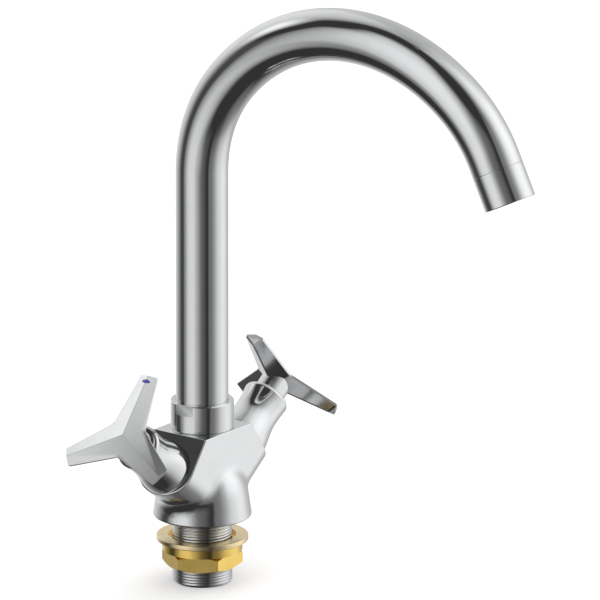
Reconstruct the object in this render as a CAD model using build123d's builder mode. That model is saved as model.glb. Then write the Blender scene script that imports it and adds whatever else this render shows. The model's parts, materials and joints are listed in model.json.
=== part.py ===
from build123d import *
import os
from math import cos, radians, sin, tan

# Two handle kitchen faucet with a swivelling swan neck spout.
# Millimetres, +Z up. The origin is the centre of the foot's underside, where it stands on the deck.
# The spout points along -Y. The cold valve leans to -X and the hot valve to +X.

os.makedirs("parts", exist_ok=True)

# ---- driving dimensions ----

# clearances
thread_clearance = 0.05      # between a male and a female thread, on radius
running_clearance = 0.1      # between parts that turn in each other, on radius
face_clearance = 0.05        # between flat faces that turn on each other
hub_clearance = 0.5          # handle hub in the bonnet's mouth, on radius

# body casting
foot_radius = 26.5
waist_radius = 24.9
waist_height = 11.0
shoulder_height = 31.0       # top of the round shoulder, buried between the arms
shoulder_radius = 15.0
foot_edge_radius = 1.2
body_top_height = 49.0
arm_half_width = 17.5        # an arm is oval below and flat sided above
arm_depth = 14.8             # from the valve axis down to its lowest line
valve_tilt = 36.6            # degrees above the deck
arm_crossing_height = 9.3    # where the two valve axes meet
arm_length = 39.4            # from that point to the arm's end face
junction_radius = 11.0       # fillet between the arms and the foot
body_edge_radius = 0.6

# spout socket and collar nut
boss_radius = 15.0           # M30 thread on the body's upstand
boss_height = 6.6
socket_radius = 9.5
socket_depth = 13.0          # below the body's flat top
chamber_radius = 8.0
chamber_floor_height = 24.0
cross_passage_radius = 3.0
cross_passage_height = 30.0
cross_passage_reach = 14.0   # each way, into the valve pockets
collar_radius = 16.9
collar_height = 15.3
collar_lip = 2.7
collar_flat_height = 5.8
collar_across_flats = 31.6
collar_edge = 0.5

# spout
tube_radius = 14.0
tube_wall = 1.5
riser_top_height = 190.2
side_bend_radius = 82.0      # the bend is tighter at its two ends than over the top
top_bend_radius = 108.5
first_bend_angle = 39.0
second_bend_angle = 90.0
third_bend_angle = 25.0
tube_end_length = 5.0
slip_washer_thickness = 1.4
slip_ring_thickness = 1.5
insert_flange_thickness = 3.0
insert_spigot_length = 8.0
insert_stem_length = 18.0
insert_bore_radius = 6.5
insert_groove_depth = 1.5
insert_groove_width = 1.8
insert_groove_spacing = 7.0
insert_groove_inset = 4.5    # lower groove above the stem's end

# aerator
aerator_length = 19.0
aerator_bore_radius = 10.5
aerator_spigot_length = 4.5
aerator_lip = 1.5
aerator_lip_radius = 9.5
straightener_thickness = 8.0
straightener_hole_radius = 0.95
straightener_pitch = 2.5
screen_thickness = 0.6
screen_hole_radius = 0.6
screen_pitch = 1.9
aerator_washer_thickness = 2.0
aerator_washer_width = 2.6

# shank, hose inlets and foot gasket
shank_radius = 16.0
shank_bore_radius = 13.5
shank_length = 36.5          # below the deck face
shank_socket_depth = 8.0     # screwed into the body
shank_end_chamfer = 0.8
hose_thread_radius = 4.46    # M10 x 1 tapping
hose_thread_depth = 6.5
hose_spacing = 15.0
hose_passage_radius = 3.5
hose_passage_length = 4.5
gasket_inner_radius = 19.0
gasket_width = 3.5
gasket_thickness = 2.0

# deck clamp
washer_gap = 10.8            # deck space shown between the foot and the washer
washer_radius = 24.5
washer_hole_radius = 18.0
washer_thickness = 2.7
washer_edge = 0.5
nut_across_flats = 37.5
nut_hex_height = 8.4
nut_shoulder_radius = 21.4
nut_shoulder_height = 5.3
nut_chamfer_angle = 30.0

# valve (headwork), measured along its own axis from the arm's end face
pocket_radius = 9.0
pocket_depth = 19.0
seat_hole_radius = 3.0
seat_seal_thickness = 2.2
seat_seal_recess = 1.2
seat_seal_radius = 7.0
sleeve_radius = 8.0
housing_thread_length = 6.0
disc_radius = 6.4
disc_thickness = 2.5
disc_opening_radius = 5.0
disc_opening_offset = 0.9
drive_slot_width = 2.6
drive_slot_depth = 1.0
spindle_foot_thickness = 2.8
housing_collar_height = 4.0
housing_hex_across_flats = 17.0
housing_hex_height = 5.0
housing_neck_radius = 7.0
housing_neck_height = 7.0
housing_groove_radius = 7.5
housing_groove_width = 1.7
window_width = 6.0
window_height = 3.0
spindle_radius = 4.0
spindle_groove_radius = 2.9
spindle_groove_width = 1.2
spindle_groove_spacing = 3.2
spline_length = 11.5
spline_count = 20
spline_groove_radius = 0.3
circlip_groove_radius = 3.3
circlip_radius = 6.0
circlip_thickness = 0.9
circlip_gap = 4.0

# bonnet
bonnet_base_radius = 14.5     # flared where it stands on the arm
bonnet_waist_radius = 11.9
bonnet_waist_level = 20.0
bonnet_rim_radius = 12.5
bonnet_rim_level = 30.0
bonnet_length = 32.5
bonnet_wall = 1.3
bonnet_mouth_wall = 1.4
bonnet_lip = 1.5

# handle
handle_level = 45.0          # rim of the spokes above the arm's end face
spoke_count = 3
spoke_tip_radius = 35.4
spoke_tip_half_width = 5.4
notch_radius = 11.8
notch_fillet = 2.0
tip_corner_fillet = 0.8
apex_height = 2.6            # hub's point above the rim
ridge_tip_height = 0.9
rim_thickness = 1.3          # of the spokes' edge at the notches
keel_depth = 6.9             # rim down to the keels under the spokes, on the valve axis
keel_tip_depth = 4.4         # rim down to a keel at the tip, where a hip cuts it back
hub_radius = 8.4
hub_length = 7.6             # below the keels
handle_bore_depth = 11.5
grub_screw_radius = 2.0
grub_screw_level = 4.75      # above the hub's end
grub_screw_recess = 0.9
grub_socket_across_flats = 2.0
grub_socket_depth = 2.5
index_length = 5.2           # across the spoke
index_width = 2.1
index_inset = 3.4            # from the spoke's tip
index_depth = 0.8

# ---- places worked out from them ----

arm_crossing = Vector(0, 0, arm_crossing_height)


def valve_seat(side_sign):
    """Plane on an arm's end face: its Z runs out along the valve axis and its X points up."""
    tilt = radians(valve_tilt)
    outward = Vector(side_sign * cos(tilt), 0, sin(tilt))
    upward = Vector(-side_sign * sin(tilt), 0, cos(tilt))
    return Plane(origin=arm_crossing + outward * arm_length, x_dir=upward, z_dir=outward)


def section_of(seat):
    """Plane that holds the seat's axis: X is the radius and Y runs along the axis."""
    return Plane(origin=seat.origin, x_dir=seat.x_dir, z_dir=seat.x_dir.cross(seat.z_dir))


def axis_of(seat):
    """Axis through a seat plane's origin along its normal."""
    return Axis(seat.origin, seat.z_dir)


def band(inner, outer, low, high, mode=Mode.ADD):
    """Rectangle in a revolved section, between two radii and two levels."""
    with Locations(((inner + outer) / 2, (low + high) / 2)):
        Rectangle(outer - inner, high - low, mode=mode)


seats = {"cold": valve_seat(-1), "hot": valve_seat(1)}

boss_top = body_top_height + boss_height
socket_floor = body_top_height - socket_depth
insert_flange_bottom = boss_top + slip_washer_thickness + face_clearance
insert_flange_top = insert_flange_bottom + insert_flange_thickness
slip_ring_bottom = insert_flange_top + face_clearance
slip_ring_top = slip_ring_bottom + slip_ring_thickness
collar_top = body_top_height + collar_height
collar_lip_bottom = collar_top - collar_lip
tube_bore_radius = tube_radius - tube_wall
collar_bore_radius = boss_radius + thread_clearance

washer_top = -washer_gap
washer_bottom = washer_top - washer_thickness
nut_hex_top = washer_bottom - nut_shoulder_height
nut_bottom = nut_hex_top - nut_hex_height
nut_corner_radius = nut_across_flats / 2 / cos(radians(30))

seal_top = seat_seal_thickness - pocket_depth
sleeve_bottom = seal_top - seat_seal_recess
fixed_disc_top = seal_top + disc_thickness
moving_disc_bottom = fixed_disc_top + face_clearance
moving_disc_top = moving_disc_bottom + disc_thickness
foot_top = moving_disc_top + spindle_foot_thickness
disc_chamber_top = foot_top + running_clearance
hex_top = housing_collar_height + housing_hex_height
neck_top = hex_top + housing_neck_height
circlip_bottom = neck_top + face_clearance
circlip_top = circlip_bottom + circlip_thickness
hub_bottom = handle_level - keel_depth - hub_length
bore_end = hub_bottom + handle_bore_depth
spindle_top = bore_end - face_clearance
housing_collar_radius = bonnet_waist_radius - bonnet_wall - thread_clearance

# ---- body casting ----

with BuildPart() as body_casting:
    # round foot with a shoulder that runs up between the arms
    with BuildSketch(Plane.XZ) as foot_section:
        with BuildLine():
            foot_side = Line((foot_radius, 0), (waist_radius, waist_height))
            shoulder = Spline(
                foot_side @ 1,
                (shoulder_radius, shoulder_height),
                tangents=(foot_side % 1, (-1, 1)),
            )
            Polyline(shoulder @ 1, (0, shoulder_height), (0, 0), foot_side @ 0)
        make_face()
        fillet(foot_section.vertices().sort_by(Axis.X)[-1], foot_edge_radius)
    revolve(axis=Axis.Z)

    # two arms, oval below and flat sided up to the body's top
    for seat in seats.values():
        with BuildSketch(seat):
            Ellipse(arm_depth, arm_half_width)
            with Locations((body_top_height / 2, 0)):
                Rectangle(body_top_height, 2 * arm_half_width)
        extrude(amount=-arm_length)
    for seat in seats.values():
        split(bisect_by=seat, keep=Keep.BOTTOM)
    split(bisect_by=Plane.XY.offset(body_top_height), keep=Keep.BOTTOM)
    split(bisect_by=Plane.XY, keep=Keep.TOP)

    # the arms flow into the foot, and the edges of the flat faces are just broken
    fillet(body_casting.edges().filter_by(GeomType.BSPLINE), junction_radius)
    sharp_faces = [body_casting.faces().sort_by(Axis.Z)[-1]]
    sharp_faces += [body_casting.faces().sort_by(axis_of(seat))[-1] for seat in seats.values()]
    fillet([edge for face in sharp_faces for edge in face.edges()], body_edge_radius)

    # threaded upstand for the collar nut
    with BuildSketch(Plane.XY.offset(body_top_height)):
        Circle(boss_radius)
    extrude(amount=boss_height)

    # spout socket and mixing chamber, shank socket and gasket groove
    with BuildSketch(Plane.XZ):
        band(0, socket_radius, socket_floor, boss_top)
        band(0, chamber_radius, chamber_floor_height, socket_floor)
        band(0, shank_radius + thread_clearance, 0, shank_socket_depth)
        band(gasket_inner_radius, gasket_inner_radius + gasket_width, 0, gasket_thickness)
    revolve(axis=Axis.Z, mode=Mode.SUBTRACT)

    # valve pockets, each with its seat hole down to the hose passage
    seat_hole_end = arm_length - hose_spacing / 2 / cos(radians(valve_tilt))
    for seat in seats.values():
        with BuildSketch(seat):
            Circle(pocket_radius)
        extrude(amount=-pocket_depth, mode=Mode.SUBTRACT)
        with BuildSketch(seat.offset(-pocket_depth)):
            Circle(seat_hole_radius)
        extrude(amount=pocket_depth - seat_hole_end, mode=Mode.SUBTRACT)

    # passage that joins both pockets to the mixing chamber
    with BuildSketch(Plane.YZ):
        with Locations((0, cross_passage_height)):
            Circle(cross_passage_radius)
    extrude(amount=cross_passage_reach, both=True, mode=Mode.SUBTRACT)

    # hose inlets
    with BuildSketch(Plane.XY.offset(shank_socket_depth)):
        with GridLocations(hose_spacing, 1, 2, 1):
            Circle(hose_thread_radius)
    extrude(amount=hose_thread_depth, mode=Mode.SUBTRACT)
    with BuildSketch(Plane.XY.offset(shank_socket_depth + hose_thread_depth)):
        with GridLocations(hose_spacing, 1, 2, 1):
            Circle(hose_passage_radius)
    extrude(amount=hose_passage_length, mode=Mode.SUBTRACT)

body_casting.part.label = "body_casting"
export_step(body_casting.part, "parts/body_casting.step")

# ---- shank and foot gasket ----

with BuildPart() as shank:
    with BuildSketch(Plane.XZ):
        band(shank_bore_radius, shank_radius, -shank_length, shank_socket_depth)
    revolve(axis=Axis.Z)
    chamfer(shank.edges().group_by(Axis.Z)[0], shank_end_chamfer)
shank.part.label = "shank"
export_step(shank.part, "parts/shank.step")

with BuildPart() as foot_gasket:
    with BuildSketch(Plane.XZ):
        band(gasket_inner_radius, gasket_inner_radius + gasket_width, 0, gasket_thickness)
    revolve(axis=Axis.Z)
foot_gasket.part.label = "foot_gasket"
export_step(foot_gasket.part, "parts/foot_gasket.step")

# ---- deck clamp ----

with BuildPart() as flange_washer:
    with BuildSketch(Plane.XZ):
        band(washer_hole_radius, washer_radius, washer_bottom, washer_top)
    revolve(axis=Axis.Z)
    chamfer(flange_washer.edges().filter_by(GeomType.CIRCLE).sort_by(SortBy.RADIUS)[-2:], washer_edge)
flange_washer.part.label = "flange_washer"
export_step(flange_washer.part, "parts/flange_washer.step")

with BuildPart() as hex_nut:
    with BuildSketch(Plane.XY.offset(nut_bottom)):
        RegularPolygon(nut_across_flats / 2, 6, major_radius=False)
    extrude(amount=nut_hex_height)
    # both ends are turned down to the flats at the chamfer angle
    chamfer_height = (nut_corner_radius - nut_across_flats / 2) * tan(radians(nut_chamfer_angle))
    with BuildSketch(Plane.XZ):
        with BuildLine():
            Polyline(
                (0, nut_bottom),
                (nut_across_flats / 2, nut_bottom),
                (nut_corner_radius, nut_bottom + chamfer_height),
                (nut_corner_radius, nut_hex_top - chamfer_height),
                (nut_across_flats / 2, nut_hex_top),
                (0, nut_hex_top),
                close=True,
            )
        make_face()
    revolve(axis=Axis.Z, mode=Mode.INTERSECT)
    with BuildSketch(Plane.XY.offset(nut_hex_top)):
        Circle(nut_shoulder_radius)
    extrude(amount=nut_shoulder_height)
    with BuildSketch(Plane.XY.offset(nut_bottom)):
        Circle(shank_radius + thread_clearance)
    extrude(amount=nut_hex_height + nut_shoulder_height, mode=Mode.SUBTRACT)
hex_nut.part.label = "hex_nut"
export_step(hex_nut.part, "parts/hex_nut.step")

# ---- valves ----

# half moon opening of the ceramic discs: closed while the two openings face opposite ways
with BuildSketch() as disc_opening:
    Circle(disc_opening_radius)
    with Locations((disc_opening_offset, 0)):
        Rectangle(
            disc_opening_radius,
            2 * disc_opening_radius,
            align=(Align.MIN, Align.CENTER),
            mode=Mode.INTERSECT,
        )

# what lies above and below a handle's star, on a plane at the spokes' rim: each half of a
# spoke has one sloping face on top and one below, which meet in a ridge and in a keel
half_sector = 180 / spoke_count
notch_x = notch_radius * cos(radians(half_sector))
notch_y = notch_radius * sin(radians(half_sector))
ridge_slope = (ridge_tip_height - apex_height) / spoke_tip_radius
top_slope = -(apex_height + ridge_slope * notch_x) / notch_y
top_face = Plane(origin=(0, 0, apex_height), z_dir=(-ridge_slope, -top_slope, 1))
keel_slope = (keel_depth - keel_tip_depth) / spoke_tip_radius
belly_slope = (keel_depth - keel_slope * notch_x - rim_thickness) / notch_y
belly_face = Plane(origin=(0, 0, -keel_depth), z_dir=(-keel_slope, -belly_slope, 1))
hip_level = belly_slope * spoke_tip_half_width - keel_tip_depth
cutter_reach = 2 * spoke_tip_radius

with BuildSketch() as half_sector_outline:
    with BuildLine():
        Polyline(
            (0, 0),
            (cutter_reach, 0),
            (cutter_reach * cos(radians(half_sector)), cutter_reach * sin(radians(half_sector))),
            close=True,
        )
    make_face()

with BuildPart() as above_half:
    with BuildSketch(Plane.XY.offset(-keel_depth)):
        add(half_sector_outline.sketch)
    extrude(amount=keel_depth + 2 * apex_height)
    split(bisect_by=top_face, keep=Keep.TOP)

with BuildPart() as below_half:
    with BuildSketch(Plane.XY.offset(-2 * keel_depth)):
        add(half_sector_outline.sketch)
    extrude(amount=2 * keel_depth)
    split(bisect_by=belly_face, keep=Keep.BOTTOM)

with BuildPart() as beyond_hip:
    with BuildSketch(Plane.XZ):
        with BuildLine():
            Polyline(
                (spoke_tip_radius, hip_level),
                (spoke_tip_radius - keel_depth, hip_level - keel_depth),
                (spoke_tip_radius, hip_level - keel_depth),
                close=True,
            )
        make_face()
    extrude(amount=notch_y, both=True)

with BuildPart() as top_cutter:
    with PolarLocations(0, spoke_count):
        add(above_half.part)
    mirror(about=Plane.XZ)

with BuildPart() as belly_cutter:
    with PolarLocations(0, spoke_count):
        add(below_half.part)
        add(beyond_hip.part)
    mirror(about=Plane.XZ)

for side, seat in seats.items():
    section = section_of(seat)
    valve_axis = axis_of(seat)

    with BuildPart() as valve_housing:
        with BuildSketch(section):
            band(0, sleeve_radius, sleeve_bottom, -housing_thread_length)
            band(0, pocket_radius - thread_clearance, -housing_thread_length, 0)
            band(0, housing_collar_radius, 0, housing_collar_height)
            band(0, housing_neck_radius, hex_top, neck_top)
            band(
                housing_groove_radius,
                pocket_radius,
                -housing_groove_width,
                0,
                mode=Mode.SUBTRACT,
            )
        revolve(axis=valve_axis)
        with BuildSketch(seat.offset(housing_collar_height)):
            RegularPolygon(housing_hex_across_flats / 2, 6, major_radius=False)
        extrude(amount=housing_hex_height)
        with BuildSketch(section):
            band(0, seat_seal_radius, sleeve_bottom, seal_top)
            band(0, disc_radius + running_clearance, seal_top, disc_chamber_top)
            band(0, spindle_radius + running_clearance, disc_chamber_top, neck_top)
        revolve(axis=valve_axis, mode=Mode.SUBTRACT)
        # side windows above the discs
        with BuildSketch(seat.offset(moving_disc_top)):
            Rectangle(window_width, 2 * pocket_radius)
        extrude(amount=window_height, mode=Mode.SUBTRACT)
    valve_housing.part.label = f"valve_housing_{side}"
    export_step(valve_housing.part, f"parts/valve_housing_{side}.step")

    with BuildPart() as housing_oring:
        with BuildSketch(section):
            with Locations(((housing_groove_radius + pocket_radius) / 2, -housing_groove_width / 2)):
                Circle((pocket_radius - housing_groove_radius) / 2)
        revolve(axis=valve_axis)
    housing_oring.part.label = f"housing_oring_{side}"
    export_step(housing_oring.part, f"parts/housing_oring_{side}.step")

    with BuildPart() as seat_seal:
        with BuildSketch(section):
            band(seat_hole_radius, seat_seal_radius - thread_clearance, -pocket_depth, seal_top)
        revolve(axis=valve_axis)
    seat_seal.part.label = f"seat_seal_{side}"
    export_step(seat_seal.part, f"parts/seat_seal_{side}.step")

    with BuildPart() as fixed_disc:
        with BuildSketch(seat.offset(seal_top)):
            Circle(disc_radius)
            add(disc_opening.sketch, mode=Mode.SUBTRACT)
        extrude(amount=disc_thickness)
    fixed_disc.part.label = f"fixed_disc_{side}"
    export_step(fixed_disc.part, f"parts/fixed_disc_{side}.step")

    with BuildPart() as moving_disc:
        with BuildSketch(seat.offset(moving_disc_bottom)):
            Circle(disc_radius - running_clearance)
            with Locations(Rotation(0, 0, 180)):
                add(disc_opening.sketch, mode=Mode.SUBTRACT)
        extrude(amount=disc_thickness)
        with BuildSketch(seat.offset(moving_disc_top - drive_slot_depth)):
            Rectangle(drive_slot_width, 2 * disc_radius)
        extrude(amount=drive_slot_depth, mode=Mode.SUBTRACT)
    moving_disc.part.label = f"moving_disc_{side}"
    export_step(moving_disc.part, f"parts/moving_disc_{side}.step")

    groove_levels = [neck_top - (turn + 0.5) * spindle_groove_spacing for turn in range(2)]
    with BuildPart() as spindle:
        with BuildSketch(section):
            band(0, disc_radius - running_clearance, moving_disc_top, foot_top)
            band(0, spindle_radius, foot_top, spindle_top)
            band(circlip_groove_radius, spindle_radius, circlip_bottom, circlip_top, mode=Mode.SUBTRACT)
            for level in groove_levels:
                band(
                    spindle_groove_radius,
                    spindle_radius,
                    level - spindle_groove_width / 2,
                    level + spindle_groove_width / 2,
                    mode=Mode.SUBTRACT,
                )
        revolve(axis=valve_axis)
        # tongue that turns the moving disc
        with BuildSketch(seat.offset(moving_disc_top - drive_slot_depth)):
            Circle(disc_radius - running_clearance)
            Rectangle(drive_slot_width - 2 * face_clearance, 2 * disc_radius, mode=Mode.INTERSECT)
            add(disc_opening.sketch.rotate(Axis.Z, 180), mode=Mode.SUBTRACT)
        extrude(amount=drive_slot_depth)
        with BuildSketch(seat.offset(spindle_top)):
            with PolarLocations(spindle_radius, spline_count):
                Circle(spline_groove_radius)
        extrude(amount=-spline_length, mode=Mode.SUBTRACT)
    spindle.part.label = f"spindle_{side}"
    export_step(spindle.part, f"parts/spindle_{side}.step")

    with BuildPart() as spindle_orings:
        with BuildSketch(section):
            for level in groove_levels:
                with Locations(((spindle_groove_radius + spindle_radius) / 2, level)):
                    Circle((spindle_radius - spindle_groove_radius) / 2)
        revolve(axis=valve_axis)
    spindle_orings.part.label = f"spindle_orings_{side}"
    export_step(spindle_orings.part, f"parts/spindle_orings_{side}.step")

    with BuildPart() as circlip:
        with BuildSketch(seat.offset(circlip_bottom)):
            Circle(circlip_radius)
            Circle(circlip_groove_radius, mode=Mode.SUBTRACT)
            with Locations((-circlip_radius, 0)):
                Rectangle(2 * circlip_radius, circlip_gap, mode=Mode.SUBTRACT)
        extrude(amount=circlip_thickness)
    circlip.part.label = f"circlip_{side}"
    export_step(circlip.part, f"parts/circlip_{side}.step")

    with BuildPart() as bonnet:
        mouth_radius = hub_radius + hub_clearance
        mouth_outer_radius = mouth_radius + bonnet_mouth_wall
        bonnet_bore_radius = bonnet_waist_radius - bonnet_wall
        with BuildSketch(section):
            with BuildLine():
                waist = (bonnet_waist_radius, bonnet_waist_level)
                flare = Spline((bonnet_base_radius, 0), waist, tangents=((0, 1), (0, 1)))
                rim_side = TangentArc(waist, (bonnet_rim_radius, bonnet_rim_level), tangent=(0, 1))
                shoulder = TangentArc(
                    rim_side @ 1,
                    (mouth_outer_radius, bonnet_length),
                    tangent=rim_side % 1,
                )
                Polyline(
                    shoulder @ 1,
                    (mouth_radius, bonnet_length),
                    (mouth_radius, bonnet_length - bonnet_lip),
                    (bonnet_bore_radius, bonnet_rim_level - bonnet_lip),
                    (bonnet_bore_radius, 0),
                    flare @ 0,
                )
            make_face()
        revolve(axis=valve_axis)
    bonnet.part.label = f"bonnet_{side}"
    export_step(bonnet.part, f"parts/bonnet_{side}.step")

    # handle: three tapered spokes with a ridge down each, on a round hub
    rim = seat.offset(handle_level)
    grub_plane = Plane(
        origin=seat.origin + seat.z_dir * (hub_bottom + grub_screw_level),
        x_dir=seat.z_dir,
        z_dir=-seat.x_dir,
    )
    with BuildPart(rim) as handle:
        with BuildSketch(rim.offset(-keel_depth)) as spoke_outline:
            with BuildLine():
                outline = []
                for spoke in range(spoke_count):
                    turn = 360 * spoke / spoke_count
                    for corner in (
                        Vector(spoke_tip_radius, -spoke_tip_half_width),
                        Vector(spoke_tip_radius, spoke_tip_half_width),
                        Vector(notch_x, notch_y),
                    ):
                        outline.append(corner.rotate(Axis.Z, turn))
                Polyline(*outline, close=True)
            make_face()
            corners = spoke_outline.vertices().sort_by_distance((0, 0, 0))
            fillet(corners[:spoke_count], notch_fillet)
            fillet(spoke_outline.vertices().sort_by_distance((0, 0, 0))[-2 * spoke_count:], tip_corner_fillet)
        extrude(amount=keel_depth + apex_height)
        add(top_cutter.part, mode=Mode.SUBTRACT)
        add(belly_cutter.part, mode=Mode.SUBTRACT)
        with BuildSketch(rim.offset(-keel_depth - hub_length)):
            Circle(hub_radius)
        extrude(amount=keel_depth + hub_length - rim_thickness)
        # bore for the spindle and threaded hole for the grub screw
        with BuildSketch(rim.offset(hub_bottom - handle_level)):
            Circle(spindle_radius + thread_clearance)
        extrude(amount=handle_bore_depth, mode=Mode.SUBTRACT)
        with BuildSketch(grub_plane):
            Circle(grub_screw_radius + thread_clearance)
        extrude(amount=2 * hub_radius, mode=Mode.SUBTRACT)
        # recess for the colour mark
        with BuildSketch(rim.offset(-index_depth + ridge_tip_height)):
            with Locations((spoke_tip_radius - index_inset, 0)):
                Ellipse(index_width / 2, index_length / 2)
        extrude(amount=apex_height, mode=Mode.SUBTRACT)
    handle.part.label = f"handle_{side}"
    export_step(handle.part, f"parts/handle_{side}.step")

    with BuildPart(rim) as index_mark:
        with BuildSketch(rim.offset(-index_depth + ridge_tip_height)):
            with Locations((spoke_tip_radius - index_inset, 0)):
                Ellipse(index_width / 2, index_length / 2)
        extrude(amount=apex_height)
        add(top_cutter.part, mode=Mode.SUBTRACT)
    index_mark.part.label = f"index_mark_{side}"
    export_step(index_mark.part, f"parts/index_mark_{side}.step")

    with BuildPart() as grub_screw:
        screw_length = hub_radius - grub_screw_recess - spindle_radius
        with BuildSketch(grub_plane.offset(spindle_radius)):
            Circle(grub_screw_radius)
        extrude(amount=screw_length)
        with BuildSketch(grub_plane.offset(spindle_radius + screw_length)):
            RegularPolygon(grub_socket_across_flats / 2, 6, major_radius=False)
        extrude(amount=-grub_socket_depth, mode=Mode.SUBTRACT)
    grub_screw.part.label = f"grub_screw_{side}"
    export_step(grub_screw.part, f"parts/grub_screw_{side}.step")

# ---- collar nut and swivel ----

with BuildPart() as collar_nut:
    with BuildSketch(Plane.XZ):
        band(collar_bore_radius, collar_radius, body_top_height, collar_lip_bottom)
        band(tube_radius + running_clearance, collar_radius, collar_lip_bottom, collar_top)
    revolve(axis=Axis.Z)
    chamfer(collar_nut.edges().filter_by(GeomType.CIRCLE).group_by(SortBy.RADIUS)[-1], collar_edge)
    with BuildSketch(Plane.XY.offset(collar_top - collar_flat_height)):
        with GridLocations(2 * collar_across_flats, 1, 2, 1):
            Rectangle(collar_across_flats, 2 * collar_radius)
    extrude(amount=collar_flat_height, mode=Mode.SUBTRACT)
collar_nut.part.label = "collar_nut"
export_step(collar_nut.part, "parts/collar_nut.step")

with BuildPart() as slip_washer:
    with BuildSketch(Plane.XZ):
        band(socket_radius, boss_radius, boss_top, boss_top + slip_washer_thickness)
    revolve(axis=Axis.Z)
slip_washer.part.label = "slip_washer"
export_step(slip_washer.part, "parts/slip_washer.step")

with BuildPart() as slip_ring:
    with BuildSketch(Plane.XZ):
        band(tube_radius + running_clearance, boss_radius, slip_ring_bottom, slip_ring_top)
    revolve(axis=Axis.Z)
slip_ring.part.label = "slip_ring"
export_step(slip_ring.part, "parts/slip_ring.step")

stem_radius = socket_radius - running_clearance
stem_bottom = insert_flange_bottom - insert_stem_length
stem_groove_radius = stem_radius - insert_groove_depth
stem_groove_levels = [stem_bottom + insert_groove_inset + ring * insert_groove_spacing for ring in range(2)]
with BuildPart() as swivel_insert:
    with BuildSketch(Plane.XZ):
        band(insert_bore_radius, stem_radius, stem_bottom, insert_flange_bottom)
        band(insert_bore_radius, boss_radius - running_clearance, insert_flange_bottom, insert_flange_top)
        band(
            insert_bore_radius,
            tube_bore_radius - thread_clearance,
            insert_flange_top,
            insert_flange_top + insert_spigot_length,
        )
        for level in stem_groove_levels:
            band(
                stem_groove_radius,
                stem_radius,
                level - insert_groove_width / 2,
                level + insert_groove_width / 2,
                mode=Mode.SUBTRACT,
            )
    revolve(axis=Axis.Z)
swivel_insert.part.label = "swivel_insert"
export_step(swivel_insert.part, "parts/swivel_insert.step")

with BuildPart() as spout_orings:
    with BuildSketch(Plane.XZ):
        for level in stem_groove_levels:
            with Locations(((stem_groove_radius + stem_radius) / 2, level)):
                Circle(insert_groove_depth / 2)
    revolve(axis=Axis.Z)
spout_orings.part.label = "spout_orings"
export_step(spout_orings.part, "parts/spout_orings.step")

# ---- spout tube ----

with BuildLine(Plane.YZ) as spout_path:
    riser = Line((0, insert_flange_top), (0, riser_top_height))
    first_bend = JernArc(riser @ 1, riser % 1, side_bend_radius, first_bend_angle)
    second_bend = JernArc(first_bend @ 1, first_bend % 1, top_bend_radius, second_bend_angle)
    third_bend = JernArc(second_bend @ 1, second_bend % 1, side_bend_radius, third_bend_angle)
    tube_end = Line(third_bend @ 1, (third_bend @ 1) + (third_bend % 1) * tube_end_length)

with BuildPart() as spout_tube:
    with BuildSketch(Plane.XY.offset(insert_flange_top)):
        Circle(tube_radius)
        Circle(tube_bore_radius, mode=Mode.SUBTRACT)
    sweep(path=spout_path.line)
spout_tube.part.label = "spout_tube"
export_step(spout_tube.part, "parts/spout_tube.step")

# ---- aerator ----

outlet = Plane(origin=spout_path.line @ 1, x_dir=(1, 0, 0), z_dir=spout_path.line % 1)
outlet_section = section_of(outlet)
outlet_axis = axis_of(outlet)
straightener_bottom = aerator_length - aerator_lip
straightener_top = straightener_bottom - straightener_thickness
screen_top = straightener_top - screen_thickness

with BuildPart() as aerator_housing:
    with BuildSketch(outlet_section):
        band(aerator_bore_radius, tube_bore_radius - thread_clearance, -aerator_spigot_length, 0)
        band(aerator_bore_radius, tube_radius, 0, aerator_length)
        band(aerator_lip_radius, aerator_bore_radius, straightener_bottom, aerator_length)
    revolve(axis=outlet_axis)
aerator_housing.part.label = "aerator_housing"
export_step(aerator_housing.part, "parts/aerator_housing.step")

insert_radius = aerator_bore_radius - running_clearance
with BuildPart() as flow_straightener:
    with BuildSketch(outlet.offset(straightener_top)):
        Circle(insert_radius)
        Circle(straightener_hole_radius, mode=Mode.SUBTRACT)
        for ring in range(1, 4):
            with PolarLocations(ring * straightener_pitch, 6 * ring):
                Circle(straightener_hole_radius, mode=Mode.SUBTRACT)
    extrude(amount=straightener_thickness)
flow_straightener.part.label = "flow_straightener"
export_step(flow_straightener.part, "parts/flow_straightener.step")

with BuildPart() as aerator_screen:
    with BuildSketch(outlet.offset(screen_top)):
        Circle(insert_radius)
        Circle(screen_hole_radius, mode=Mode.SUBTRACT)
        for ring in range(1, 5):
            with PolarLocations(ring * screen_pitch, 6 * ring):
                Circle(screen_hole_radius, mode=Mode.SUBTRACT)
    extrude(amount=screen_thickness)
aerator_screen.part.label = "aerator_screen"
export_step(aerator_screen.part, "parts/aerator_screen.step")

with BuildPart() as aerator_washer:
    with BuildSketch(outlet_section):
        band(
            insert_radius - aerator_washer_width,
            insert_radius,
            screen_top - aerator_washer_thickness,
            screen_top,
        )
    revolve(axis=outlet_axis)
aerator_washer.part.label = "aerator_washer"
export_step(aerator_washer.part, "parts/aerator_washer.step")
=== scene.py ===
"""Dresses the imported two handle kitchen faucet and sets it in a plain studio.

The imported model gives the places: the valve axes come from its joints and the body's casting from its
own node. Sizes are in millimetres until a mesh is placed, and Blender's objects are in metres.
"""

import json
import logging
import math
from dataclasses import dataclass
from enum import Enum

import bmesh
import bpy
from mathutils import Matrix, Vector

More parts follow.
